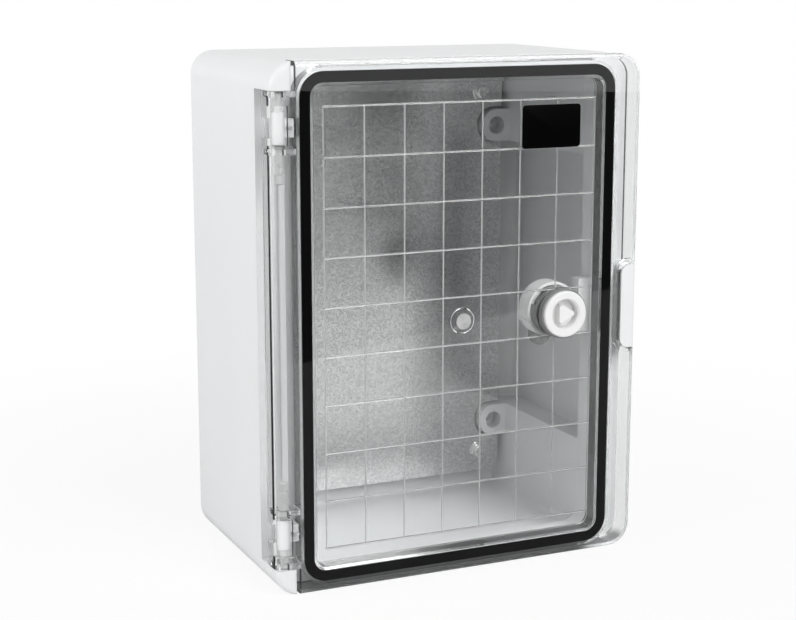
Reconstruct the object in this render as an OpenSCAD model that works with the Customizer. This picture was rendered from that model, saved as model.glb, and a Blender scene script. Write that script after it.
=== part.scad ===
// Plastic wall cabinet with a clear hinged door, a quarter-turn lock and a steel mounting plate.
// X is to the right, Y goes from the door to the wall and Z is up, with the cabinet standing on Z = 0.
// Sizes are in millimetres. Depths are measured from the front plane of the door.

/* [Cabinet] */
// Width of the cabinet
cab_w = 200; // [180:1:260]
// Height of the cabinet
cab_h = 260; // [240:1:340]
// Depth from the door's front plane to the back
cab_d = 130; // [110:1:180]
// Wall thickness of the housing
wall = 3; // [2.5:0.1:4]
// Corner radius of the front outline
corner_r = 12; // [10.5:0.5:14]
// Radius of the edges round the back
back_edge_r = 10; // [4:0.5:10]

/* [Door] */
// Depth of the door tray
door_d = 13; // [12:0.1:15]
// Thickness of the clear front plate
front_t = 2.5; // [2.2:0.1:3]
// Thickness of the tray's side walls
skirt_t = 2.3; // [1.8:0.1:2.6]
// Radius of the door's front edge
front_edge_r = 3; // [1:0.5:4]
// Gap between the door's rim and the housing
door_gap = 0.4; // [0.3:0.1:0.8]
// Gap between the door and the white blocks beside it
side_gap = 0.7; // [0.5:0.1:1]
// Height of the keeper tab on the lock side
tab_h = 44; // [36:1:60]
// Width of the keeper tab
tab_w = 9.2; // [8:0.1:10]
// Radius of the keeper tab's inner corners
tab_r = 5; // [3:0.5:6]

/* [Window grid] */
// Columns of the moulded grid
grid_cols = 7; // [5:1:9]
// Rows of the moulded grid
grid_rows = 9; // [7:1:12]
// Space between the grid and the window's left and right edges
grid_margin_x = 4.8; // [2:0.1:8]
// Space between the grid and the window's top and bottom edges
grid_margin_z = 9.6; // [4:0.1:14]
// Width of a ridge across the window
row_ridge_w = 1; // [0.8:0.1:1.4]
// Width of a ridge up the window
col_ridge_w = 0.7; // [0.4:0.1:0.7]

/* [Gasket] */
// Width of the foam gasket
gasket_w = 5.4; // [5:0.1:7]
// Thickness of the foam gasket
gasket_t = 8; // [6:0.1:8.2]
// Distance from the cabinet's sides to the gasket
gasket_margin_x = 14.8; // [14:0.1:18]
// Distance from the cabinet's top and bottom to the gasket
gasket_margin_z = 4.9; // [4.6:0.1:7]
// Outer corner radius of the gasket
gasket_r = 12; // [9:0.5:14]
// Thickness of the ribs that hold the gasket
rib_t = 1.6; // [1.2:0.1:2]
// Depth of the rib outside the gasket
outer_rib_d = 10.4; // [9:0.1:10.6]
// Depth of the rib inside the gasket
inner_rib_d = 11; // [10:0.1:12]

/* [Hinge] */
// Distance from the front and side faces to the hinge axis
hinge_off = 5.5; // [5.3:0.1:6]
// Diameter of a hinge pin
pin_d = 4; // [3.6:0.1:4.2]
// Outer diameter of a hinge knuckle
knuckle_d = 6.4; // [6:0.1:6.6]
// Length of a hinge knuckle
knuckle_l = 15.4; // [12:0.1:18]
// Distance from a corner block to its knuckle
knuckle_drop = 9.9; // [8:0.1:14]
// Height of the arm that carries a knuckle
arm_h = 8.8; // [6:0.1:10]
// Thickness of the arm that carries a knuckle
arm_t = 2.4; // [1.8:0.1:2.6]
// Wall thickness of the door's rolled hinge edge
roll_t = 1.9; // [1.6:0.1:2]
// Thickness of a hinge ear
ear_t = 2.8; // [2:0.1:3.5]
// Height of the collar between a knuckle and its inner ear
ear_collar = 1.6; // [1:0.1:5]
// Length of a pin's grip beyond its ear
grip_l = 8.8; // [6:0.1:12]
// Width of the white corner blocks
block_w = 11; // [11:0.1:11.5]
// Height of the white corner blocks
block_h = 13.5; // [12.5:0.1:16]
// Depth of the notch that the hinge edge turns in
notch_d = 22.5; // [20:0.1:28]
// Radial clearance of a pin in its bores
pin_fit = 0.05; // [0.02:0.01:0.1]

/* [Lock] */
// Distance from the cabinet's right side to the lock axis
lock_inset = 45; // [42:0.5:50]
// How far the lock face stands in front of the door
lock_proud = 6; // [5:0.1:8]
// Diameter of the white lock face
face_d = 23.8; // [22:0.1:25]
// Diameter of the key recess in the face
recess_d = 14.6; // [13:0.1:15.5]
// Height of the triangular key post from side to point
key_h = 8.4; // [7:0.1:10]
// Diameter of the lock barrel
barrel_d = 22; // [21:0.1:23]
// Depth of the end of the lock barrel
barrel_end = 20; // [18:0.1:22]
// Diameter of the lock spindle
spindle_d = 12; // [10:0.1:13]
// Outer diameter of the lock nut
nut_d = 28.8; // [27:0.1:31]
// Length of the lock nut
nut_l = 10; // [8:0.1:11]
// Depth of the lock nut's front
nut_y = 9; // [7:0.1:9]
// Reach of the latch cam from the lock axis
cam_reach = 21; // [20:0.1:24]
// Width of the latch cam
cam_w = 12; // [10:0.1:14]
// Thickness of the latch cam
cam_t = 2.5; // [2:0.1:3]
// Across-flats size of the square that drives the cam
square_w = 7; // [6:0.1:7.5]

/* [Mounting plate] */
// Distance from the cabinet's sides to the plate
plate_margin_x = 21; // [20:0.1:26]
// Distance from the cabinet's top and bottom to the plate
plate_margin_z = 14; // [10:0.1:18]
// Thickness of the steel plate
plate_t = 1.5; // [1:0.1:2.5]
// Corner radius of the plate
plate_r = 7; // [3:0.5:9]
// Height of the posts under the plate
post_l = 11.5; // [10.5:0.1:16]
// Distance from the cabinet's sides to the plate screws
screw_inset_x = 33.4; // [32:0.1:38]
// Distance from the cabinet's top and bottom to the plate screws
screw_inset_z = 26; // [22:0.1:28]
// Diameter of a plate screw's shank
screw_d = 4.8; // [4:0.1:5]

/* [Wall mounting] */
// Distance from the cabinet's sides to the wall holes
wall_hole_x = 26; // [25:0.1:28]
// Distance from the cabinet's top and bottom to the wall holes
wall_hole_z = 44.5; // [42:0.1:52]
// Diameter of the wall holes
wall_hole_d = 5.5; // [4:0.1:6.5]
// Diameter of the counterbore for the wall screws' heads
head_bore_d = 9.6; // [8:0.1:11]
// Width of the wall bosses
wall_boss_w = 18; // [16:0.1:20]
// How far the wall bosses stand in front of the plate
wall_boss_proud = 4; // [2:0.1:8]
// Thickness of the corner pillars behind the rim
pillar_t = 18; // [17:0.1:20]
// Radius between the corner pillars and the top and bottom walls
pillar_fillet_r = 5; // [2:0.5:8]

/* [Hidden] */
$fn = 48;

// Overlap of fused shapes, and reach of a cut past a face
eps = 0.5;
// Gap between faces of pieces that move apart
clear = 0.3;
// Gap between pieces that are assembled into each other
seat = 0.05;

mid_z = cab_h / 2;
front_y = lock_proud - (cab_d + lock_proud) / 2;
rim_y = door_d + door_gap;
flange_t = wall;
in_w = cab_w - 2 * wall;
in_h = cab_h - 2 * wall;

// Gasket ring, and the collar that presses into the middle of it
gasket_ow = cab_w - 2 * gasket_margin_x;
gasket_oh = cab_h - 2 * gasket_margin_z;
gasket_end = front_t + gasket_t;
collar_t = 2.5;
collar_inset = (gasket_w - collar_t) / 2;
collar_w = gasket_ow - 2 * collar_inset;
collar_h = gasket_oh - 2 * collar_inset;
collar_r = gasket_r - collar_inset;
collar_y = gasket_end + clear;
// Depth of the edge strip behind the collar
strip_l = 12.6;
strip_y = rim_y + strip_l;
window_w = gasket_ow - 2 * gasket_w - 2 * rib_t;
window_h = gasket_oh - 2 * gasket_w - 2 * rib_t;

// Hinge side
axis_x = hinge_off - cab_w / 2;
axis_y = hinge_off;
pin_r = pin_d / 2;
knuckle_r = knuckle_d / 2;
block_x = block_w - cab_w / 2;
block_edge_r = 3;
// Distance from a corner block to the clear plate, so that the plate's edge turns past it
block_gap = 1.5;
plate_x = block_x + block_gap;
notch_h = cab_h - 2 * block_h;
leaf_h = notch_h - 2 * clear;
leaf_end = door_d - clear;
ear_d = 2 * hinge_off;
// Heights below the top of the leaf, from the corner block towards mid-height
ear_outer = ear_t;
knuckle_top = knuckle_drop - clear;
knuckle_end = knuckle_top + knuckle_l;
collar_top = knuckle_end + clear;
ear_inner = collar_top + ear_collar;
ear_end = ear_inner + ear_t;
// Window in the rolled edge: it starts above its knuckle and leaves a bar beside it
window_lead = 2.9;
window_top = knuckle_top - window_lead;
window_x = 3;
bar_front = 0.3;
bar_back = 2;
// Knuckle arm, whose post stands on the rim beside the door's outer rib
arm_top = (knuckle_top + knuckle_end - arm_h) / 2;
arm_gap = 0.5;
rib_x = -gasket_ow / 2 - rib_t;
arm_reach = rib_x - arm_gap - axis_x;
// Pin grip, neck and knob, with their steps from the pin's radius
grip_step = 0.3;
grip_r = pin_r + grip_step;
neck_l = 1;
neck_step = 0.4;
neck_r = pin_r - neck_step;
knob_l = 4.2;
knob_step = 0.2;
knob_r = pin_r + knob_step;
knob_edge_r = 1;

// Keeper tab and keeper lug on the lock side
tab_x = cab_w / 2 - tab_w;
tab_wall = 2;
tab_lip_d = 4.5;
lug_h = 28;
// Overlap of the latch cam and the lug
lug_hold = 3.4;

// Lock stack along its axis
lock_x = cab_w / 2 - lock_inset;
face_t = 2;
seal_t = 0.6;
flange_lip = 0.9;
flange_r = face_d / 2 + flange_lip;
barrel_r = barrel_d / 2;
spindle_r = spindle_d / 2;
recess_r = recess_d / 2;
spigot_t = 1.7;
spigot_r = recess_r + spigot_t;
spigot_l = 3;
head_y = face_t + spigot_l - lock_proud;
head_t = 2.4;
end_play = 0.2;
shoulder_y = barrel_end + end_play;
// Claw ring between the crests of the window grid and the nut, which it enters by the nut's rim
spacer_y = front_t + row_ridge_w / 2 + seat;
spacer_r = (barrel_r + nut_d / 2) / 2;
rim_l = 1;
spacer_end = nut_y + rim_l;
washer_t = 1;
lock_washer_t = 0.8;
cam_y = shoulder_y + washer_t;
cam_end = cam_y + cam_t;
square_end = cam_end - clear;
oring_y = 8;
oring_r = 0.6;
cam_screw_r = 1.9;
cam_screw_l = 9;

// Plate, posts and wall bosses
plate_w = cab_w - 2 * plate_margin_x;
plate_h = cab_h - 2 * plate_margin_z;
floor_y = cab_d - wall;
plate_back = floor_y - post_l;
plate_front = plate_back - plate_t;
post_r = 6;
insert_r = 3.5;
insert_l = 8;
insert_bore_r = screw_d / 2 + seat;
plate_washer_t = 1;
screw_x = cab_w / 2 - screw_inset_x;
screw_z = mid_z - screw_inset_z;
hole_x = cab_w / 2 - wall_hole_x;
hole_z = mid_z - wall_hole_z;
wall_boss_r = wall_boss_w / 2;
wall_boss_y = plate_front - wall_boss_proud;
head_bore_l = 9;
pillar_x = cab_w / 2 - pillar_t;

// Frame in which depths are measured from the front plane
module place() {
    translate([0, front_y, 0]) children();
}

// Rectangle with round corners, centred
module rounded_rect(w, h, r) {
    square([w - 2 * r, h], center = true);
    square([w, h - 2 * r], center = true);
    for (sx = [-1, 1], sy = [-1, 1])
        translate([sx * (w / 2 - r), sy * (h / 2 - r)]) circle(r);
}

// Slab parallel to the door, between two depths
module slab(w, h, r, y0, y1) {
    translate([0, y1, mid_z]) rotate([90, 0, 0]) linear_extrude(y1 - y0) rounded_rect(w, h, r);
}

// Ring parallel to the door, with a wall of even thickness
module ring_slab(w, h, r, t, y0, y1) {
    translate([0, y1, mid_z]) rotate([90, 0, 0]) linear_extrude(y1 - y0) difference() {
        rounded_rect(w, h, r);
        rounded_rect(w - 2 * t, h - 2 * t, r - t);
    }
}

// Strip of depth y0 to y1 with its far corners rounded
module tongue(w, y0, y1, e) {
    translate([-w / 2, y0]) square([w, y1 - y0 - e]);
    translate([e - w / 2, y0]) square([w - 2 * e, y1 - y0]);
    for (s = [-1, 1]) translate([s * (w / 2 - e), y1 - e]) circle(e);
}

// Block with round corners whose far face has round edges
module soft_block(w, h, r, y0, y1, e) {
    translate([0, 0, mid_z - h / 2 + r]) linear_extrude(h - 2 * r) tongue(w, y0, y1, e);
    translate([r - w / 2, 0, mid_z]) rotate([90, 0, 90]) linear_extrude(w - 2 * r)
        rotate(-90) tongue(h, y0, y1, e);
    for (sx = [-1, 1], sz = [-1, 1])
        translate([sx * (w / 2 - r), 0, mid_z + sz * (h / 2 - r)]) rotate([-90, 0, 0])
            rotate_extrude() intersection() {
                tongue(2 * r, y0, y1, e);
                translate([0, y0]) square([r, y1 - y0]);
            }
}

// Outline of the cabinet's front with its rounded front edge
module front_block(y1) {
    mirror([0, 1, 0]) soft_block(cab_w, cab_h, corner_r, -y1, 0, front_edge_r);
}

// Box given by its corners
module span(low, high) {
    translate(low) cube(high - low);
}

// Rod along the depth, between two depths
module rod(r, y0, y1) {
    translate([0, y0, 0]) rotate([-90, 0, 0]) cylinder(r = r, h = y1 - y0);
}

// Rod along the depth whose far end has a round edge, with depths that run the way of the sign
module round_rod(r, y0, y1, e, sign) {
    rotate([-90 * sign, 0, 0]) rotate_extrude() round_end(r, y0, y1, e);
}

// Half section of a rod whose far end has a round edge
module round_end(r, y0, y1, e) {
    translate([0, y0]) square([r, y1 - y0 - e]);
    translate([0, y0]) square([r - e, y1 - y0]);
    translate([r - e, y1 - e]) circle(e);
}

// Copies in the four corners, mirrored about the middle
module corners(x, z) {
    for (sx = [-1, 1], sz = [-1, 1])
        translate([0, 0, mid_z]) scale_sign(sx, sz) translate([x, 0, z]) children();
}

// Mirror images for the four corners
module scale_sign(sx, sz) {
    mirror([sx < 0 ? 1 : 0, 0, 0]) mirror([0, 0, sz < 0 ? 1 : 0]) children();
}

// The upper hinge's shapes, and the same shapes mirrored for the lower hinge
module both_hinges() {
    upper_hinge() children();
    lower_hinge() children();
}

// Frame at the hinge axis with Z running from the top of the leaf towards mid-height
module upper_hinge() {
    translate([axis_x, axis_y, mid_z + leaf_h / 2]) mirror([0, 0, 1]) children();
}

module lower_hinge() {
    translate([axis_x, axis_y, mid_z - leaf_h / 2]) children();
}

// Cylinder along the hinge axis, between two heights of that frame
module hinge_rod(r, z0, z1) {
    translate([0, 0, z0]) cylinder(r = r, h = z1 - z0);
}

// Frame on the lock axis
module at_lock() {
    translate([lock_x, 0, mid_z]) children();
}

// Keeper tab seen from the front, grown by a margin
module tab_prism(margin, y0, y1) {
    translate([0, y1, mid_z]) rotate([90, 0, 0]) linear_extrude(y1 - y0)
        translate([tab_x + tab_w - margin / 2, 0])
            rounded_rect(2 * tab_w + margin, tab_h + 2 * margin, tab_r + margin);
}

// White blocks at the hinge-side corners, flush with the door
module corner_blocks() {
    intersection() {
        front_block(rim_y + eps);
        for (sz = [-1, 1])
            translate([0, 0, mid_z + sz * (mid_z - block_h / 2)])
                linear_extrude(block_h, center = true)
                    translate([block_x - block_w, 0]) mirror([0, 1, 0])
                        tongue(2 * block_w, -rim_y - eps, 0, block_edge_r);
    }
}

// Knuckle of the housing with the arm that carries it
module knuckle() {
    difference() {
        union() {
            hinge_rod(knuckle_r, knuckle_top, knuckle_end);
            translate([0, 0, arm_top]) linear_extrude(arm_h) arm_plan();
        }
        hinge_rod(pin_r + pin_fit, knuckle_top - eps, knuckle_end + eps);
    }
}

// Plan of a knuckle arm, which runs to the right from the hinge axis and then back to the rim
module arm_plan() {
    translate([0, -arm_t / 2]) square([arm_reach, arm_t]);
    translate([arm_reach - arm_t, -arm_t / 2])
        square([arm_t, rim_y + flange_t - axis_y + arm_t / 2]);
}

// Corner pillar with the boss for a wall screw, seen from the boss's axis
module wall_pillar() {
    span([pillar_x - hole_x, rim_y + eps, -wall_boss_r],
         [cab_w / 2 - wall / 2 - hole_x, floor_y + eps, mid_z - hole_z - wall / 2]);
    rod(wall_boss_r, wall_boss_y, floor_y + eps);
    span([0, wall_boss_y, -wall_boss_r], [pillar_x - hole_x + eps, floor_y + eps, wall_boss_r]);
    translate([pillar_x - hole_x, floor_y + eps, mid_z - wall - hole_z]) rotate([90, 0, 0])
        linear_extrude(floor_y + eps - strip_y + eps) inner_fillet(pillar_fillet_r);
}

// Section of a round inner corner whose walls are above and to the right
module inner_fillet(r) {
    difference() {
        translate([-r, -r]) square(r + eps);
        translate([-r, -r]) circle(r);
    }
}

module housing_shell() {
    difference() {
        soft_block(cab_w, cab_h, corner_r, rim_y, cab_d, back_edge_r);
        soft_block(in_w, in_h, corner_r - wall, rim_y + flange_t, floor_y, back_edge_r - wall);
    }
    intersection() {
        slab(cab_w, cab_h, corner_r, rim_y, notch_d + wall);
        span([-cab_w / 2, rim_y, block_h - eps], [block_x + wall, notch_d + wall, cab_h - block_h + eps]);
    }
    slab(collar_w, collar_h, collar_r, collar_y, strip_y);
}

module base_housing() {
    color("whitesmoke") place() difference() {
        union() {
            difference() {
                union() {
                    housing_shell();
                    corner_blocks();
                    intersection() {
                        front_block(rim_y + eps);
                        tab_prism(0, 0, rim_y + eps);
                    }
                    intersection() {
                        soft_block(cab_w - wall, cab_h - wall, corner_r - wall / 2, rim_y,
                                   cab_d - wall / 2, back_edge_r - wall / 2);
                        corners(hole_x, hole_z) wall_pillar();
                    }
                }
                slab(collar_w - 2 * collar_t, collar_h - 2 * collar_t, collar_r - collar_t,
                     collar_y - eps, strip_y + eps);
                span([-cab_w / 2 - eps, rim_y - eps, block_h], [block_x, notch_d, cab_h - block_h]);
            }
            both_hinges() knuckle();
            corners(screw_x, screw_z) rod(post_r, plate_back, floor_y + eps);
            span([lock_x + cam_reach - lug_hold, rim_y, mid_z - lug_h / 2],
                 [collar_w / 2 - eps, cam_y - clear, mid_z + lug_h / 2]);
        }
        corners(hole_x, hole_z) {
            rod(wall_hole_d / 2, wall_boss_y - eps, cab_d + eps);
            rod(head_bore_d / 2, wall_boss_y - eps, wall_boss_y + head_bore_l);
        }
        corners(screw_x, screw_z) rod(insert_r + seat, plate_back - eps, plate_back + insert_l + seat);
    }
}

module threaded_inserts() {
    color("darkgoldenrod") place() corners(screw_x, screw_z) difference() {
        rod(insert_r, plate_back + seat, plate_back + insert_l);
        rod(insert_bore_r, plate_back - eps, plate_back + insert_l + eps);
    }
}

module mounting_plate() {
    notch_gap = 1.2;
    notch_r = wall_boss_r + notch_gap;
    color("silver") place() difference() {
        slab(plate_w, plate_h, plate_r, plate_front, plate_back);
        corners(hole_x, hole_z) {
            rod(notch_r, plate_front - eps, plate_back + eps);
            span([0, plate_front - eps, -notch_r], [plate_w / 2 - hole_x + eps, plate_back + eps, notch_r]);
        }
        corners(screw_x, screw_z) rod(screw_d / 2 + clear, plate_front - eps, plate_back + eps);
    }
}

module plate_washers() {
    plate_washer_r = 5.2;
    color("gainsboro") place() corners(screw_x, screw_z) difference() {
        rod(plate_washer_r, plate_front - plate_washer_t, plate_front);
        rod(screw_d / 2 + seat, plate_front - plate_washer_t - eps, plate_front + eps);
    }
}

// Pan-head screws with a cross recess
module plate_screws() {
    head_r = 4;
    head_l = 2.2;
    head_edge_r = 1;
    slot_w = 1.2;
    slot_l = 4.4;
    slot_depth = 1.4;
    tip_inset = 1;
    seat_y = plate_front - plate_washer_t;
    color("gainsboro") place() corners(screw_x, screw_z) difference() {
        union() {
            round_rod(head_r, -seat_y, head_l - seat_y, head_edge_r, -1);
            rod(screw_d / 2, seat_y - eps, plate_back + insert_l - tip_inset);
        }
        for (turn = [0, 90]) rotate([0, turn, 0])
            span([-slot_l / 2, seat_y - head_l - eps, -slot_w / 2],
                 [slot_l / 2, seat_y - head_l + slot_depth, slot_w / 2]);
    }
}

// Plan of the hinge leaf, solid inside, from the hinge axis
module leaf_plan(depth) {
    circle(hinge_off);
    translate([0, -hinge_off]) square([plate_x - axis_x + eps, depth]);
    translate([-hinge_off, 0]) square([hinge_off, depth - hinge_off]);
}

// Plan of the hollow inside the rolled hinge edge
module leaf_hollow() {
    circle(hinge_off - roll_t);
    translate([0, roll_t - hinge_off]) square([2 * hinge_off, door_d]);
    translate([roll_t - hinge_off, 0]) square([3 * hinge_off, door_d]);
}

// Rolled hinge edge with its ears, open where the knuckles stand
module hinge_leaf() {
    difference() {
        union() {
            translate([axis_x, axis_y, mid_z]) linear_extrude(leaf_h, center = true) difference() {
                leaf_plan(leaf_end);
                leaf_hollow();
            }
            both_hinges() {
                linear_extrude(ear_outer) leaf_plan(ear_d);
                translate([0, 0, ear_inner]) linear_extrude(ear_t) leaf_plan(ear_d);
                hinge_rod(knuckle_r, collar_top, ear_inner + eps);
            }
        }
        both_hinges() {
            hinge_rod(pin_r + pin_fit, -eps, ear_end + eps);
            span([-hinge_off - eps, -hinge_off - eps, window_top], [window_x, bar_front, collar_top]);
            span([-hinge_off - eps, bar_back, arm_top - clear], [0, door_d, arm_top + arm_h + clear]);
        }
    }
    both_hinges() translate([0, 0, arm_top + (arm_h - rib_t) / 2])
        span([window_x + eps, front_t - eps - axis_y, 0],
             [rib_x - axis_x + eps, -arm_t / 2 - clear, rib_t]);
}

// Ridge of V section along X, on the inside of the front plate
module ridge(length, w) {
    translate([0, front_t, 0]) rotate([45, 0, 0]) cube([length, w / sqrt(2), w / sqrt(2)], center = true);
}

// Fine ridges of the window grid
module window_grid() {
    grid_w = window_w - 2 * grid_margin_x;
    grid_h = window_h - 2 * grid_margin_z;
    translate([0, 0, mid_z]) {
        for (i = [0:grid_cols])
            translate([(i / grid_cols - 0.5) * grid_w, 0, 0]) rotate([0, 90, 0])
                ridge(grid_h, col_ridge_w);
        for (j = [0:grid_rows])
            translate([0, 0, (j / grid_rows - 0.5) * grid_h]) ridge(grid_w + row_ridge_w, row_ridge_w);
    }
}

// Ring, tick and disc where the plate was filled in its mould
module gate_mark() {
    ring_r = 6.4;
    ring_w = 0.6;
    tick_w = 0.4;
    disc_r = 4;
    raised = 0.2;
    tick_turn = 135;
    translate([0, 0, mid_z]) {
        translate([0, front_t, 0]) rotate([-90, 0, 0]) rotate_extrude()
            translate([ring_r, 0]) rotate(45) square(ring_w / sqrt(2), center = true);
        rotate([0, tick_turn, 0]) translate([(ring_r + disc_r) / 2, 0, 0]) ridge(ring_r - disc_r, tick_w);
        rod(disc_r, -raised, eps);
    }
}

// Clear tray without its hinge edge
module door_tray() {
    difference() {
        front_block(door_d);
        slab(cab_w - 2 * skirt_t, cab_h - 2 * skirt_t, corner_r - skirt_t, front_t, door_d + eps);
        span([-cab_w / 2 - eps, -eps, -eps], [plate_x, door_d + eps, cab_h + eps]);
    }
    intersection() {
        front_block(tab_lip_d);
        tab_prism(side_gap + tab_wall, 0, tab_lip_d);
    }
    ring_slab(gasket_ow + 2 * rib_t, gasket_oh + 2 * rib_t, gasket_r + rib_t, rib_t,
              front_t - eps, outer_rib_d);
    ring_slab(gasket_ow - 2 * gasket_w, gasket_oh - 2 * gasket_w, gasket_r - gasket_w, rib_t,
              front_t - eps, inner_rib_d);
}

module door() {
    color("azure", 0.4) place() {
        difference() {
            union() {
                door_tray();
                window_grid();
                hinge_leaf();
                gate_mark();
            }
            tab_prism(side_gap, -eps, door_d + eps);
            at_lock() rod(barrel_r + seat, -eps, front_t + eps);
        }
    }
}

module door_gasket() {
    color("black") place()
        ring_slab(gasket_ow - 2 * seat, gasket_oh - 2 * seat, gasket_r - seat, gasket_w - 2 * seat,
                  front_t, gasket_end);
}

// Plain pin with a thicker grip, a neck and a round knob towards mid-height
module hinge_pin() {
    pin_tip = clear;
    grip_top = ear_end + seat;
    grip_end = grip_top + grip_l;
    mark_r = 1.2;
    mark_w = 0.35;
    mark_depth = 0.5;
    hinge_rod(pin_r, pin_tip, grip_top + eps);
    difference() {
        hinge_rod(grip_r, grip_top, grip_end);
        translate([0, 0, (grip_top + grip_end) / 2]) difference() {
            rod(mark_r, -grip_r - eps, mark_depth - grip_r);
            rod(mark_r - mark_w, -grip_r - 2 * eps, 0);
        }
    }
    hinge_rod(neck_r, grip_end - eps, grip_end + neck_l + eps);
    rotate_extrude() round_end(knob_r, grip_end + neck_l, grip_end + neck_l + knob_l, knob_edge_r);
}

module hinge_pin_upper() {
    color("white") place() upper_hinge() hinge_pin();
}

module hinge_pin_lower() {
    color("white") place() lower_hinge() hinge_pin();
}

// Barrel behind a grooved flange, with the grooves of its thread between the door and the nut
module lock_body() {
    groove_w = 0.6;
    groove_in = 0.6;
    groove_step = 1.3;
    thread_w = 0.5;
    thread_in = 0.4;
    thread_step = 1.1;
    thread_turns = 6;
    color("dimgray") place() at_lock() difference() {
        union() {
            rod(flange_r, face_t - lock_proud, -seal_t);
            rod(barrel_r, -seal_t - eps, barrel_end);
        }
        rod(spigot_r + seat, face_t - lock_proud - eps, head_y + seat);
        rod(recess_r + seat, head_y - eps, head_y + head_t + seat);
        rod(spindle_r + seat, head_y, barrel_end + eps);
        for (i = [1, 2])
            groove(flange_r, groove_in, face_t - lock_proud + i * groove_step - groove_w, groove_w);
        for (i = [1:thread_turns])
            groove(barrel_r, thread_in, front_t + i * thread_step, thread_w);
    }
}

// Ring that cuts a groove into a rod
module groove(r, depth, y, w) {
    difference() {
        rod(r + eps, y, y + w);
        rod(r - depth, y - eps, y + w + eps);
    }
}

// White face ring with a sloping key recess
module lock_bezel() {
    lip_r = 0.8;
    slope = 1.2;
    color("white") place() at_lock() rotate([-90, 0, 0]) rotate_extrude()
        difference() {
            union() {
                translate([0, -lock_proud]) square([face_d / 2 - lip_r, face_t]);
                translate([0, lip_r - lock_proud]) square([face_d / 2, face_t - lip_r]);
                translate([face_d / 2 - lip_r, lip_r - lock_proud]) circle(lip_r);
                translate([0, face_t - lock_proud - eps]) square([spigot_r, spigot_l + eps]);
            }
            translate([-eps, -lock_proud - eps]) square([recess_r + seat + eps, face_t + spigot_l + 2 * eps]);
            polygon([[recess_r - eps, -lock_proud - eps], [recess_r + slope, -lock_proud - eps],
                     [recess_r - eps, face_t - lock_proud]]);
        }
}

module lock_seal() {
    color("black") place() at_lock() difference() {
        rod(flange_r, -seal_t, 0);
        rod(barrel_r + seat, -seal_t - eps, eps);
    }
}

// Ring with four claws, through which the nut clamps the door against the flange
module lock_spacer() {
    foot_t = 1.2;
    gap_w = 9;
    gap_turn = 39;
    color("dimgray") place() at_lock() difference() {
        rod(spacer_r, spacer_y, spacer_end);
        rod(barrel_r + seat, spacer_y - eps, spacer_end + eps);
        for (turn = [0:90:270]) rotate([0, turn + gap_turn, 0])
            span([0, spacer_y + foot_t, -gap_w / 2], [spacer_r + eps, spacer_end + eps, gap_w / 2]);
    }
}

// White nut whose rim stands round the claws, with two thin ribs
module lock_nut() {
    rib_w = 1;
    rib_h = 0.8;
    rib_turn = -22;
    color("white") place() at_lock() difference() {
        union() {
            rod(nut_d / 2, nut_y, nut_y + nut_l);
            for (turn = [0, 180]) rotate([0, turn + rib_turn, 0])
                span([nut_d / 2 - eps, nut_y, -rib_w / 2], [nut_d / 2 + rib_h, nut_y + nut_l, rib_w / 2]);
        }
        rod(barrel_r + seat, nut_y - eps, nut_y + nut_l + eps);
        rod(spacer_r + clear, nut_y - eps, spacer_end);
    }
}

// Key post, turning head, spindle and the square that drives the cam
module lock_core() {
    post_inset = 0.8;
    post_top = post_inset - lock_proud;
    corner = 1.4;
    // Distance from the post's axis to the centres of its round corners
    reach = (key_h - 2 * corner) / 1.5;
    color("white") place() at_lock() difference() {
        union() {
            translate([0, head_y + eps, 0]) rotate([90, 0, 0]) linear_extrude(head_y + eps - post_top)
                key_section(reach, corner);
            rod(recess_r - seat, head_y, head_y + head_t);
            rod(spindle_r, head_y + head_t - eps, oring_y - oring_r);
            rod(spindle_r - 2 * oring_r, head_y + head_t, shoulder_y);
            rod(spindle_r, oring_y + oring_r, shoulder_y);
            span([-square_w / 2, shoulder_y - eps, -square_w / 2], [square_w / 2, square_end, square_w / 2]);
        }
        rod(cam_screw_r + seat, square_end - cam_screw_l, square_end + eps);
    }
}

// Triangle with rounded corners that points to the right
module key_section(reach, r) {
    turns = [0, 120, 240];
    polygon([for (turn = turns, side = [-60, 60])
        reach * [cos(turn), sin(turn)] + r * [cos(turn + side), sin(turn + side)]]);
    for (turn = turns) rotate(turn) translate([reach, 0]) circle(r);
}

module lock_oring() {
    color("black") place() at_lock() translate([0, oring_y, 0]) rotate([-90, 0, 0])
        rotate_extrude() translate([spindle_r - oring_r - seat, 0]) circle(oring_r - seat);
}

module cam_washer() {
    washer_r = 8;
    color("gainsboro") place() at_lock() difference() {
        rod(washer_r, shoulder_y, shoulder_y + washer_t);
        rod(square_w * sqrt(2) / 2 + seat, shoulder_y - eps, shoulder_y + washer_t + eps);
    }
}

// Cam with a round eye and a round tip, hanging down when unlocked
module cam_latch() {
    eye_r = 8;
    tip_r = cam_w / 2;
    color("silver") place() at_lock() difference() {
        union() {
            rod(eye_r, cam_y, cam_end);
            span([-cam_w / 2, cam_y, tip_r - cam_reach], [cam_w / 2, cam_end, 0]);
            translate([0, 0, tip_r - cam_reach]) rod(tip_r, cam_y, cam_end);
        }
        span([-square_w / 2 - seat, cam_y - eps, -square_w / 2 - seat],
             [square_w / 2 + seat, cam_end + eps, square_w / 2 + seat]);
    }
}

// Split spring washer between the cam and its screw
module cam_lock_washer() {
    lock_washer_r = 5.6;
    split_w = 0.6;
    color("gainsboro") place() at_lock() difference() {
        rod(lock_washer_r, cam_end, cam_end + lock_washer_t);
        rod(cam_screw_r + seat, cam_end - eps, cam_end + lock_washer_t + eps);
        span([0, cam_end - eps, -split_w / 2],
             [lock_washer_r + eps, cam_end + lock_washer_t + eps, split_w / 2]);
    }
}

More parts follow.
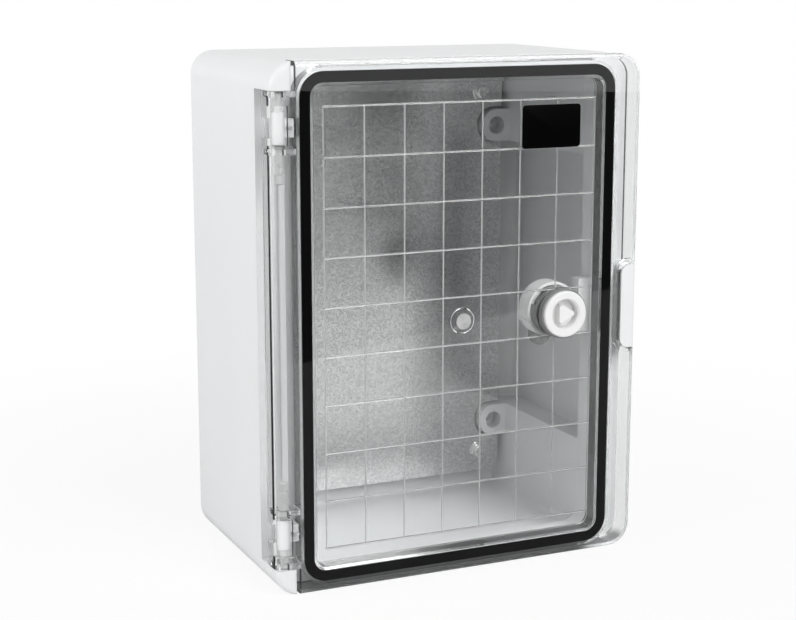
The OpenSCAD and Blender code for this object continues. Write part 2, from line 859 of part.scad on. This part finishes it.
module cam_screw() {
    head_r = 5;
    head_l = 2;
    head_edge_r = 0.8;
    slot_w = 1.2;
    slot_depth = 1.2;
    seat_y = cam_end + lock_washer_t;
    head_end = seat_y + head_l;
    color("gainsboro") place() at_lock() difference() {
        union() {
            round_rod(head_r, seat_y, head_end, head_edge_r, 1);
            rod(cam_screw_r, square_end - cam_screw_l + clear, seat_y + eps);
        }
        for (turn = [0, 90]) rotate([0, turn, 0])
            span([-head_r / 2, head_end - slot_depth, -slot_w / 2], [head_r / 2, head_end + eps, slot_w / 2]);
    }
}

base_housing();
threaded_inserts();
mounting_plate();
plate_washers();
plate_screws();
door();
door_gasket();
hinge_pin_upper();
hinge_pin_lower();
lock_body();
lock_bezel();
lock_seal();
lock_spacer();
lock_nut();
lock_core();
lock_oring();
cam_washer();
cam_latch();
cam_lock_washer();
cam_screw();
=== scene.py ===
"""Looks of the wall cabinet: white moulded housing, clear door, black gasket, steel plate and lock."""

import math

import bpy
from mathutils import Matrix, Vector


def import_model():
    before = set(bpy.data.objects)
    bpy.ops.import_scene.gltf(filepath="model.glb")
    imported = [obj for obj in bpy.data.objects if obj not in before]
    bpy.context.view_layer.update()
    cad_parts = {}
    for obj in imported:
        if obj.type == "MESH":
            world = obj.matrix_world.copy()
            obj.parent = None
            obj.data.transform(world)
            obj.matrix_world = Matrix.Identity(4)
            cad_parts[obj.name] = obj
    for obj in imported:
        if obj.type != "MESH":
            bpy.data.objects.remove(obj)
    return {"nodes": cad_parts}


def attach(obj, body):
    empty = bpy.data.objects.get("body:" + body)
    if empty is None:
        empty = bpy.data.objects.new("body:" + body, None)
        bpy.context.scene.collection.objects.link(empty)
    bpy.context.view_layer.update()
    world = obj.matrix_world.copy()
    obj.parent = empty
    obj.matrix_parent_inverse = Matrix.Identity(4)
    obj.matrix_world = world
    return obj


MM = 0.001

# Door in millimetres: front plane, mid-height, and the edges where the rolled side and the rim start
DOOR_FRONT_Y = -62
MID_Z = 130
ROLL_X = -87
RIM_X = 86
# Width over which the tint, a painted shade, changes at those two edges
TINT_STEP = 2

# Label in millimetres: its middle from the door's middle, size, thickness, round corner and soft edge
LABEL_X, LABEL_Z = 48, 95
LABEL_W, LABEL_H = 32.9, 21.5
LABEL_FILM = 0.15
LABEL_CORNER = 1.8
LABEL_EDGE = 0.05

# Gate mark in millimetres: radius and height on the door, then the scar's thickness and crumbling
GATE_R = 4
GATE_RAISED = 0.2
GATE_FILM = 0.12
GATE_CRUMB = 0.1

# Door's window grid: spaces between its ridges, then their pitches and half its size in millimetres
GRID_COLS, GRID_ROWS = 7, 9
COL_PITCH, ROW_PITCH = 20.97, 24.11
GRID_HALF_W, GRID_HALF_H = 73.9, 108.5
# Half width of a ridge, and the depths behind the door's front between which it lies
RIDGE_HALF = 0.45
RIDGE_NEAR, RIDGE_FAR = 2.45, 3.1

# Tints of the clear door: the sheet's own, then greyer tints on the rim, the rolled edge and the ridges that
# are painted shade
SHEET_TINT = (0.955, 0.962, 0.96, 1)
RIM_PAINTED_SHADE_TINT = (0.925, 0.93, 0.93, 1)
ROLL_PAINTED_SHADE_TINT = (0.82, 0.825, 0.825, 1)
RIDGE_PAINTED_SHADE_TINT = (0.66, 0.665, 0.665, 1)
# What the sheet and the rolled edge let through of the lamps' light
SHEET_SHADE = (0.98, 0.985, 0.985, 1)
ROLL_SHADE = (0.72, 0.725, 0.725, 1)
# Roughness of the matt ridges, and the most that the polished sheet has
RIDGE_ROUGH = 0.5
SHEET_ROUGH = 0.012

# Height of fine relief in metres, and its strength on metal
RELIEF = 0.0001
METAL_RELIEF = 0.12
# Shares of the cells and the speckle in the shade of a metal's coat
CELL_SHARE, SPECKLE_SHARE = 0.15, 0.85
# Parts of a texture's range that are stretched over a finish: grain and cloud, coat, and smears
GRAIN_RANGE = (0.3, 0.7)
COAT_RANGE = (0.38, 0.62)
SMEAR_RANGE = (0.35, 0.75)

# Table: its turn to face the camera in radians, then front edge, back edge and half width in metres
CAMERA_YAW = 0.4216
TABLE_FRONT = 0.4446
TABLE_BACK = 3
TABLE_HALF_W = 2.5
# Shade of the table in bounced light, and its painted darker reflection in mirrors, and the white of the
# table close to the part
TABLE_SHADE, TABLE_PAINTED_REFLECTION = 0.9, 0.3
TABLE_WHITE = 0.88
# Distances in metres from the middle of the part at which its shadow starts to fade and is gone
SHADOW_NEAR, SHADOW_FAR = 0.2, 0.5
# Shaded strip of table under the door in millimetres: middle, half width and half length
STRIP_Y = -55
STRIP_HALF = 9
STRIP_HALF_LENGTH = 100

# Floor of the room, a painted dark reflection seen only in mirrors, in metres: height, radius and where its
# pale side is reached, then its two shades
ROOM_FLOOR_Z = -0.75
ROOM_FLOOR_R = 14
ROOM_PALE_X = -0.3
REFLECTED_ROOM_DARK, REFLECTED_ROOM_PALE = 0.01, 0.5

# Strength of the soft light from all around
AMBIENT = 0.5
# Painted dark reflection seen only in rays through the door, as a dark corner of the room by direction:
# where it sets in to the front, right and below, and how dark it gets
CORNER_FRONT = (0.0, -0.3)
CORNER_RIGHT = (0.22, 0.38)
CORNER_HEIGHT = (0.3, 0.0)
CORNER_DARK = (0.4, 0.93)

# Lamps: place and side in metres, and power in watts
LAMPS = {
    "side_soft": ((-1.7, 0.1, 0.45), 1.6, 17.5),
    "front_soft": ((0.47, -1.5, 1.15), 0.9, 18.5),
}
LAMP_TARGET = (0, 0, 0.13)

# Camera: place in metres and direction, then lens and sensor width in millimetres
CAMERA_PLACE = (-0.3683, -0.8038, 0.3028)
CAMERA_LOOK = (0.4011, 0.8944, -0.1979)
CAMERA_LENS = 76.97
CAMERA_SENSOR = 36

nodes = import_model()["nodes"]
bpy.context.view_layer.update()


def deselect():
    bpy.ops.object.select_all(action="DESELECT")


# Shader helpers


def new_material(name):
    mat = bpy.data.materials.new(name)
    mat.use_nodes = True
    shader = mat.node_tree.nodes["Principled BSDF"]
    return mat, mat.node_tree, shader


def set_inputs(node, inputs):
    for key, value in inputs.items():
        node.inputs[key.replace("_", " ")].default_value = value
    return node


def add(tree, kind, **inputs):
    return set_inputs(tree.nodes.new(kind), inputs)


def new_group(name, inputs, outputs):
    tree = bpy.data.node_groups.new(name, "ShaderNodeTree")
    for label, value in inputs.items():
        socket = tree.interface.new_socket(label, in_out="INPUT", socket_type="NodeSocketFloat")
        socket.default_value = value
    for label in outputs:
        tree.interface.new_socket(label, in_out="OUTPUT", socket_type="NodeSocketFloat")
    return tree, tree.nodes.new("NodeGroupInput"), tree.nodes.new("NodeGroupOutput")


def place_group(tree, group, **inputs):
    node = tree.nodes.new("ShaderNodeGroup")
    node.node_tree = group
    return set_inputs(node, inputs)


def object_coords(tree):
    return tree.nodes.new("ShaderNodeTexCoord").outputs["Object"]


def split_axes(tree, source):
    node = tree.nodes.new("ShaderNodeSeparateXYZ")
    tree.links.new(source, node.inputs[0])
    return node.outputs


def math_node(tree, operation, first, second=0):
    node = tree.nodes.new("ShaderNodeMath")
    node.operation = operation
    for socket, value in zip(node.inputs, (first, second)):
        if isinstance(value, (int, float)):
            socket.default_value = value
        else:
            tree.links.new(value, socket)
    return node.outputs[0]


def distance(tree, source, middle):
    """How far a value is from the middle, on either side."""
    return math_node(tree, "ABSOLUTE", math_node(tree, "SUBTRACT", source, middle))


def remap(tree, source, low, high, to_low, to_high):
    node = tree.nodes.new("ShaderNodeMapRange")
    tree.links.new(source, node.inputs["Value"])
    for key, value in (("From Min", low), ("From Max", high), ("To Min", to_low), ("To Max", to_high)):
        node.inputs[key].default_value = value
    return node.outputs["Result"]


def mix_colour(tree, factor, first, second):
    node = tree.nodes.new("ShaderNodeMix")
    node.data_type = "RGBA"
    tree.links.new(factor, node.inputs["Factor"])
    for socket, value in ((node.inputs["A"], first), (node.inputs["B"], second)):
        if hasattr(value, "is_output"):
            tree.links.new(value, socket)
        else:
            socket.default_value = value
    return node.outputs["Result"]


def bump(tree, height, strength):
    node = add(tree, "ShaderNodeBump", Strength=strength, Distance=RELIEF)
    tree.links.new(height, node.inputs["Height"])
    return node


def show_mix(tree, factor, first, second, sink):
    """Mix two shaders by a mask and show the result."""
    chooser = tree.nodes.new("ShaderNodeMixShader")
    tree.links.new(factor, chooser.inputs["Fac"])
    tree.links.new(first, chooser.inputs[1])
    tree.links.new(second, chooser.inputs[2])
    tree.links.new(chooser.outputs["Shader"], tree.nodes[sink].inputs["Surface"])


def first_look(tree, *kinds):
    """Mask of the camera's rays and those of these kinds that no diffuse surface has scattered."""
    path = tree.nodes.new("ShaderNodeLightPath")
    mask = math_node(tree, "LESS_THAN", path.outputs["Diffuse Depth"], 0.5)
    seen = path.outputs["Is Camera Ray"]
    for kind in kinds:
        seen = math_node(tree, "MAXIMUM", seen, path.outputs["Is " + kind + " Ray"])
    return math_node(tree, "MULTIPLY", seen, mask)


def grey(value, tint=(1, 1, 1)):
    return (value * tint[0], value * tint[1], value * tint[2], 1)


# Shared effects


def scale_by_size(tree, node, size):
    tree.links.new(math_node(tree, "DIVIDE", 1.0, size), node.inputs["Scale"])


def make_moulded_grain():
    """Fine texture of a moulded surface, with a slow drift of shade."""
    sizes = {"Grain Size": 0.0004, "Drift Size": 0.05}
    tree, source, sink = new_group("moulded_grain", sizes, ("Height", "Shade"))
    coords = object_coords(tree)
    grain = add(tree, "ShaderNodeTexNoise", Detail=3.0, Roughness=0.6)
    drift = add(tree, "ShaderNodeTexNoise", Detail=2.0, Roughness=0.5)
    for node, key in ((grain, "Grain Size"), (drift, "Drift Size")):
        tree.links.new(coords, node.inputs["Vector"])
        scale_by_size(tree, node, source.outputs[key])
    tree.links.new(grain.outputs["Fac"], sink.inputs["Height"])
    tree.links.new(drift.outputs["Fac"], sink.inputs["Shade"])
    return tree


def make_spangle():
    """Crystal grains of a zinc coat: each cell has its own shade, under a fine speckle."""
    sizes = {"Cell Size": 0.004, "Speckle Size": 0.0008}
    tree, source, sink = new_group("zinc_spangle", sizes, ("Cell Shade", "Speckle", "Cloud"))
    coords = object_coords(tree)
    cells = add(tree, "ShaderNodeTexVoronoi", Randomness=1.0)
    cells.feature = "F1"
    speckle = add(tree, "ShaderNodeTexNoise", Detail=4.0, Roughness=0.7)
    cloud = add(tree, "ShaderNodeTexNoise", Scale=22.0, Detail=3.0, Roughness=0.55)
    for node in (cells, speckle, cloud):
        tree.links.new(coords, node.inputs["Vector"])
    for node, key in ((cells, "Cell Size"), (speckle, "Speckle Size")):
        scale_by_size(tree, node, source.outputs[key])
    split = tree.nodes.new("ShaderNodeSeparateColor")
    tree.links.new(cells.outputs["Color"], split.inputs["Color"])
    tree.links.new(split.outputs["Red"], sink.inputs["Cell Shade"])
    tree.links.new(speckle.outputs["Fac"], sink.inputs["Speckle"])
    tree.links.new(cloud.outputs["Fac"], sink.inputs["Cloud"])
    return tree


moulded_grain = make_moulded_grain()
zinc_spangle = make_spangle()


# Finishes


def plastic(name, shade, rough, grain=0.0004, strength=0.05, tint=(1, 1, 1), edge=0.0, gloss=0.5):
    """Opaque moulded plastic or rubber, with a fine texture and softened edges."""
    mat, tree, shader = new_material(name)
    shader.inputs["Specular IOR Level"].default_value = gloss
    skin = place_group(tree, moulded_grain, Grain_Size=grain)
    low, high = (grey(value, tint) for value in shade)
    tree.links.new(mix_colour(tree, skin.outputs["Shade"], low, high), shader.inputs["Base Color"])
    tree.links.new(remap(tree, skin.outputs["Height"], *GRAIN_RANGE, *rough), shader.inputs["Roughness"])
    relief = bump(tree, skin.outputs["Height"], strength)
    if edge:
        soft = add(tree, "ShaderNodeBevel", Radius=edge)
        soft.samples = 4
        tree.links.new(soft.outputs["Normal"], relief.inputs["Normal"])
    tree.links.new(relief.outputs["Normal"], shader.inputs["Normal"])
    return mat


def metal(name, shade, rough, cell, speckle, tint=(1, 1, 1)):
    """Metal with a coat of crystal grains of different shade."""
    mat, tree, shader = new_material(name)
    shader.inputs["Metallic"].default_value = 1.0
    coat = place_group(tree, zinc_spangle, Cell_Size=cell, Speckle_Size=speckle)
    cells = math_node(tree, "MULTIPLY", coat.outputs["Cell Shade"], CELL_SHARE)
    specks = math_node(tree, "MULTIPLY", coat.outputs["Speckle"], SPECKLE_SHARE)
    contrast = remap(tree, math_node(tree, "ADD", cells, specks), *COAT_RANGE, 0, 1)
    low, high = (grey(value, tint) for value in shade)
    tree.links.new(mix_colour(tree, contrast, low, high), shader.inputs["Base Color"])
    tree.links.new(remap(tree, coat.outputs["Cloud"], *GRAIN_RANGE, *rough), shader.inputs["Roughness"])
    relief = bump(tree, coat.outputs["Speckle"], METAL_RELIEF)
    tree.links.new(relief.outputs["Normal"], shader.inputs["Normal"])
    return mat


def ridge_lines(tree, source, middle, spaces, pitch):
    """Mask of evenly spaced ridges along one axis, each in the middle of a step."""
    steps = math_node(tree, "DIVIDE", math_node(tree, "SUBTRACT", source, middle * MM), pitch * MM)
    place = math_node(tree, "FRACT", math_node(tree, "ADD", steps, (spaces + 1) / 2))
    return math_node(tree, "LESS_THAN", distance(tree, place, 0.5), RIDGE_HALF / pitch)


def grid_mask(tree, axes):
    """Mask of the ridges of the door's window grid."""
    columns = ridge_lines(tree, axes["X"], 0, GRID_COLS, COL_PITCH)
    rows = ridge_lines(tree, axes["Z"], MID_Z, GRID_ROWS, ROW_PITCH)
    mask = math_node(tree, "MAXIMUM", columns, rows)
    for axis, middle, half in (
        ("X", 0, GRID_HALF_W),
        ("Y", DOOR_FRONT_Y + (RIDGE_NEAR + RIDGE_FAR) / 2, (RIDGE_FAR - RIDGE_NEAR) / 2),
        ("Z", MID_Z, GRID_HALF_H + RIDGE_HALF),
    ):
        inside = math_node(tree, "LESS_THAN", distance(tree, axes[axis], middle * MM), half * MM)
        mask = math_node(tree, "MULTIPLY", mask, inside)
    return mask


def clear_plastic():
    """Polished clear sheet with matt ridges, which lets the lamps through, with painted shade as greyer
    tints on its rim, rolled edge and ridges.
    """
    mat, tree, shader = new_material("clear_polycarbonate")
    shader.inputs["Transmission Weight"].default_value = 1.0
    shader.inputs["IOR"].default_value = 1.5
    coords = object_coords(tree)
    axes = split_axes(tree, coords)
    rolled = remap(tree, axes["X"], ROLL_X * MM, (ROLL_X - TINT_STEP) * MM, 0, 1)
    rim = remap(tree, axes["X"], RIM_X * MM, (RIM_X + TINT_STEP) * MM, 0, 1)
    ridges = grid_mask(tree, axes)
    # Greyer tints on the rim, the rolled edge and the ridges are painted shade
    tint = mix_colour(tree, rim, SHEET_TINT, RIM_PAINTED_SHADE_TINT)
    tint = mix_colour(tree, rolled, tint, ROLL_PAINTED_SHADE_TINT)
    tint = mix_colour(tree, ridges, tint, RIDGE_PAINTED_SHADE_TINT)
    tree.links.new(tint, shader.inputs["Base Color"])
    smear = add(tree, "ShaderNodeTexNoise", Scale=30.0, Detail=3.0, Roughness=0.6)
    tree.links.new(coords, smear.inputs["Vector"])
    polish = remap(tree, smear.outputs["Fac"], *SMEAR_RANGE, 0.0, SHEET_ROUGH)
    frost = math_node(tree, "MULTIPLY", ridges, RIDGE_ROUGH)
    tree.links.new(math_node(tree, "MAXIMUM", polish, frost), shader.inputs["Roughness"])
    open_way = tree.nodes.new("ShaderNodeBsdfTransparent")
    tree.links.new(mix_colour(tree, rolled, SHEET_SHADE, ROLL_SHADE), open_way.inputs["Color"])
    lamp_rays = tree.nodes.new("ShaderNodeLightPath").outputs["Is Shadow Ray"]
    show_mix(tree, lamp_rays, shader.outputs["BSDF"], open_way.outputs["BSDF"], "Material Output")
    return mat


COOL = (0.985, 0.993, 1.0)
YELLOW = (1.0, 0.78, 0.38)
housing_white = plastic("housing_white_abs", (0.81, 0.84), (0.36, 0.46), tint=COOL, edge=0.0006)
pin_white = plastic("pin_white_nylon", (0.80, 0.84), (0.34, 0.42), edge=0.0003)
lock_white = plastic("lock_white_nylon", (0.82, 0.86), (0.30, 0.38), edge=0.0003)
lock_grey = plastic("lock_grey_nylon", (0.23, 0.28), (0.34, 0.44), edge=0.0003)
gasket_black = plastic("gasket_black_foam", (0.001, 0.003), (0.55, 0.75), grain=0.0009, strength=0.25,
                       gloss=0.15)
seal_black = plastic("seal_black_rubber", (0.012, 0.02), (0.45, 0.6), grain=0.0006, strength=0.1)
label_black = plastic("label_black_film", (0.001, 0.002), (0.3, 0.4), grain=0.0003, strength=0.03,
                      gloss=0.02)
scar_white = plastic("gate_scar_white", (0.45, 0.75), (0.5, 0.7), grain=0.0012, strength=0.4)
plate_zinc = metal("plate_galvanised_steel", (0.5, 0.8), (0.18, 0.25), cell=0.001, speckle=0.0005)
cam_zinc = metal("cam_dark_zinc_steel", (0.18, 0.32), (0.35, 0.45), cell=0.0016, speckle=0.0008)
bright_zinc = metal("bright_zinc_steel", (0.62, 0.78), (0.22, 0.32), cell=0.0012, speckle=0.0005)
brass = metal("insert_brass", (0.55, 0.72), (0.25, 0.35), cell=0.0015, speckle=0.0005, tint=YELLOW)
door_clear = clear_plastic()

FINISHES = {
    "base_housing": housing_white,
    "threaded_inserts": brass,
    "mounting_plate": plate_zinc,
    "plate_washers": bright_zinc,
    "plate_screws": bright_zinc,
    "door": door_clear,
    "door_gasket": gasket_black,
    "hinge_pin_upper": pin_white,
    "hinge_pin_lower": pin_white,
    "lock_body": lock_grey,
    "lock_bezel": lock_white,
    "lock_seal": seal_black,
    "lock_spacer": lock_grey,
    "lock_nut": lock_white,
    "lock_core": lock_white,
    "lock_oring": seal_black,
    "cam_washer": cam_zinc,
    "cam_latch": cam_zinc,
    "cam_lock_washer": cam_zinc,
    "cam_screw": cam_zinc,
}
for name, finish in FINISHES.items():
    nodes[name].data.materials.clear()
    nodes[name].data.materials.append(finish)


# Bare label on the door


def make_label():
    """Thin film with round corners and a soft edge, stuck on the door's front."""
    deselect()
    place = (LABEL_X * MM, DOOR_FRONT_Y * MM, (MID_Z + LABEL_Z) * MM)
    bpy.ops.mesh.primitive_plane_add(size=MM, location=place, rotation=(math.pi / 2, 0, 0))
    label = bpy.context.object
    label.name = "bare_label"
    label.scale = (LABEL_W, LABEL_H, 1)
    bpy.ops.object.transform_apply(location=True, rotation=True, scale=True)
    bpy.ops.object.mode_set(mode="EDIT")
    bpy.ops.mesh.select_all(action="SELECT")
    bpy.ops.mesh.bevel(offset=LABEL_CORNER * MM, segments=6, affect="VERTICES")
    bpy.ops.mesh.select_all(action="SELECT")
    bpy.ops.mesh.extrude_region_move(TRANSFORM_OT_translate={"value": (0, -LABEL_FILM * MM, 0)})
    bpy.ops.mesh.select_all(action="SELECT")
    bpy.ops.mesh.normals_make_consistent(inside=False)
    bpy.ops.object.mode_set(mode="OBJECT")
    soften = label.modifiers.new("soft_edge", "BEVEL")
    soften.width = LABEL_EDGE * MM
    soften.segments = 2
    soften.limit_method = "ANGLE"
    bpy.ops.object.modifier_apply(modifier=soften.name)
    bpy.ops.object.shade_smooth_by_angle(angle=math.radians(40))
    label.data.materials.append(label_black)
    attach(label, "door_leaf")


make_label()


# Rough scar on the gate mark


def make_gate_scar():
    """Crumbled disc where the sprue was broken off the door's front."""
    deselect()
    place = (0, (DOOR_FRONT_Y - GATE_RAISED) * MM, MID_Z * MM)
    bpy.ops.mesh.primitive_circle_add(vertices=48, radius=GATE_R * MM, fill_type="TRIFAN",
                                      location=place, rotation=(math.pi / 2, 0, 0))
    scar = bpy.context.object
    scar.name = "gate_scar"
    bpy.ops.object.transform_apply(location=True, rotation=True, scale=True)
    bpy.ops.object.mode_set(mode="EDIT")
    bpy.ops.mesh.select_all(action="SELECT")
    bpy.ops.mesh.subdivide(number_cuts=7)
    bpy.ops.mesh.select_all(action="SELECT")
    bpy.ops.mesh.extrude_region_move(TRANSFORM_OT_translate={"value": (0, -GATE_FILM * MM, 0)})
    bpy.ops.transform.vertex_random(offset=GATE_CRUMB * MM, uniform=0.2, normal=1.0, seed=3)
    bpy.ops.mesh.select_all(action="SELECT")
    bpy.ops.mesh.normals_make_consistent(inside=False)
    bpy.ops.object.mode_set(mode="OBJECT")
    scar.data.materials.append(scar_white)
    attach(scar, "door_leaf")


make_gate_scar()


# Stage


def table_finish():
    """White where the camera looks at it, pale in bounced light and painted darker in mirrors, with the
    part's shadow.
    """
    mat, tree, shader = new_material("floor_white")
    shader.inputs["Roughness"].default_value = 0.9
    shader.inputs["Specular IOR Level"].default_value = 0.0
    glow = add(tree, "ShaderNodeEmission", Color=grey(1.0), Strength=1.0)
    path = tree.nodes.new("ShaderNodeLightPath")
    # Darker table in mirrors: a painted darker reflection
    colour = mix_colour(tree, path.outputs["Is Glossy Ray"], grey(TABLE_SHADE), grey(TABLE_PAINTED_REFLECTION))
    tree.links.new(colour, shader.inputs["Base Color"])
    coords = object_coords(tree)
    away = tree.nodes.new("ShaderNodeVectorMath")
    away.operation = "LENGTH"
    tree.links.new(coords, away.inputs[0])
    white_share = remap(tree, away.outputs["Value"], SHADOW_NEAR, SHADOW_FAR, TABLE_WHITE, 1.0)
    axes = split_axes(tree, coords)
    beside = distance(tree, axes["Y"], STRIP_Y * MM)
    beside = remap(tree, beside, STRIP_HALF * MM, 2 * STRIP_HALF * MM, 0, 1)
    past_end = distance(tree, axes["X"], 0)
    past_end = remap(tree, past_end, STRIP_HALF_LENGTH * MM, (STRIP_HALF_LENGTH + STRIP_HALF) * MM, 0, 1)
    off_strip = math_node(tree, "MAXIMUM", beside, past_end)
    shown = math_node(tree, "MAXIMUM", off_strip, path.outputs["Is Camera Ray"])
    seen = math_node(tree, "MULTIPLY", first_look(tree, "Transmission"), white_share)
    seen = math_node(tree, "MULTIPLY", seen, shown)
    show_mix(tree, seen, shader.outputs["BSDF"], glow.outputs["Emission"], "Material Output")
    return mat


def make_floor():
    """Pale table whose front edge lies square to the camera."""
    deselect()
    bpy.ops.mesh.primitive_plane_add(size=2, rotation=(0, 0, -CAMERA_YAW))
    floor = bpy.context.object
    floor.name = "floor"
    for vert in floor.data.vertices:
        vert.co.x *= TABLE_HALF_W
        vert.co.y = -TABLE_FRONT if vert.co.y < 0 else TABLE_BACK
    bpy.ops.object.transform_apply(location=True, rotation=True, scale=True)
    floor.data.materials.append(table_finish())


def make_painted_reflection_floor():
    """Painted dark reflection: floor of the room below the table, dark on the right, seen only in mirrors.
    """
    deselect()
    bpy.ops.mesh.primitive_circle_add(vertices=64, radius=ROOM_FLOOR_R, fill_type="NGON",
                                      location=(0, 0, ROOM_FLOOR_Z))
    ground = bpy.context.object
    ground.name = "mirror_only_floor"
    mat, tree, shader = new_material("painted_reflection_black")
    shader.inputs["Roughness"].default_value = 1.0
    shader.inputs["Specular IOR Level"].default_value = 0.0
    axes = split_axes(tree, object_coords(tree))
    # Dark and pale shades of the painted reflection
    left = remap(tree, axes["X"], 0.0, ROOM_PALE_X, REFLECTED_ROOM_DARK, REFLECTED_ROOM_PALE)
    tree.links.new(left, shader.inputs["Base Color"])
    ground.data.materials.append(mat)
    for kind in ("camera", "diffuse", "transmission", "volume_scatter", "shadow"):
        setattr(ground, "visible_" + kind, False)


def make_world():
    """Even soft light, white to the eye, with painted darkness in front on the right that only rays through
    the door see.
    """
    world = bpy.data.worlds.new("studio")
    bpy.context.scene.world = world
    world.use_nodes = True
    tree = world.node_tree
    soft = set_inputs(tree.nodes["Background"], {"Color": grey(1.0), "Strength": AMBIENT})
    white = add(tree, "ShaderNodeBackground", Color=grey(1.0))
    axes = split_axes(tree, tree.nodes.new("ShaderNodeTexCoord").outputs["Generated"])
    path = tree.nodes.new("ShaderNodeLightPath")
    front = remap(tree, axes["Y"], *CORNER_FRONT, 0, 1)
    right = remap(tree, axes["X"], *CORNER_RIGHT, 0, 1)
    low = remap(tree, axes["Z"], *CORNER_HEIGHT, *CORNER_DARK)
    # Painted darkness, only for rays that pass through the door
    corner = math_node(tree, "MULTIPLY", math_node(tree, "MULTIPLY", front, right), low)
    corner = math_node(tree, "MULTIPLY", corner, path.outputs["Is Transmission Ray"])
    tree.links.new(math_node(tree, "SUBTRACT", 1.0, corner), white.inputs["Strength"])
    seen = first_look(tree, "Glossy", "Transmission")
    show_mix(tree, seen, soft.outputs["Background"], white.outputs["Background"], "World Output")


def place_and_aim(name, data, place, look):
    obj = bpy.data.objects.new(name, data)
    bpy.context.scene.collection.objects.link(obj)
    obj.location = place
    obj.rotation_mode = "QUATERNION"
    obj.rotation_quaternion = look.to_track_quat("-Z", "Y")
    return obj


def make_lamps():
    for name, (place, side, power) in LAMPS.items():
        lamp = bpy.data.lights.new(name, "AREA")
        lamp.shape = "SQUARE"
        lamp.size = side
        lamp.energy = power
        place_and_aim(name, lamp, place, Vector(LAMP_TARGET) - Vector(place))


def make_camera():
    lens = bpy.data.cameras.new("camera")
    lens.sensor_width = CAMERA_SENSOR
    lens.lens = CAMERA_LENS
    lens.clip_start = 0.01
    bpy.context.scene.camera = place_and_aim("camera", lens, CAMERA_PLACE, Vector(CAMERA_LOOK))


make_floor()
make_painted_reflection_floor()
make_world()
make_lamps()
make_camera()
bpy.context.scene.view_settings.view_transform = "Standard"
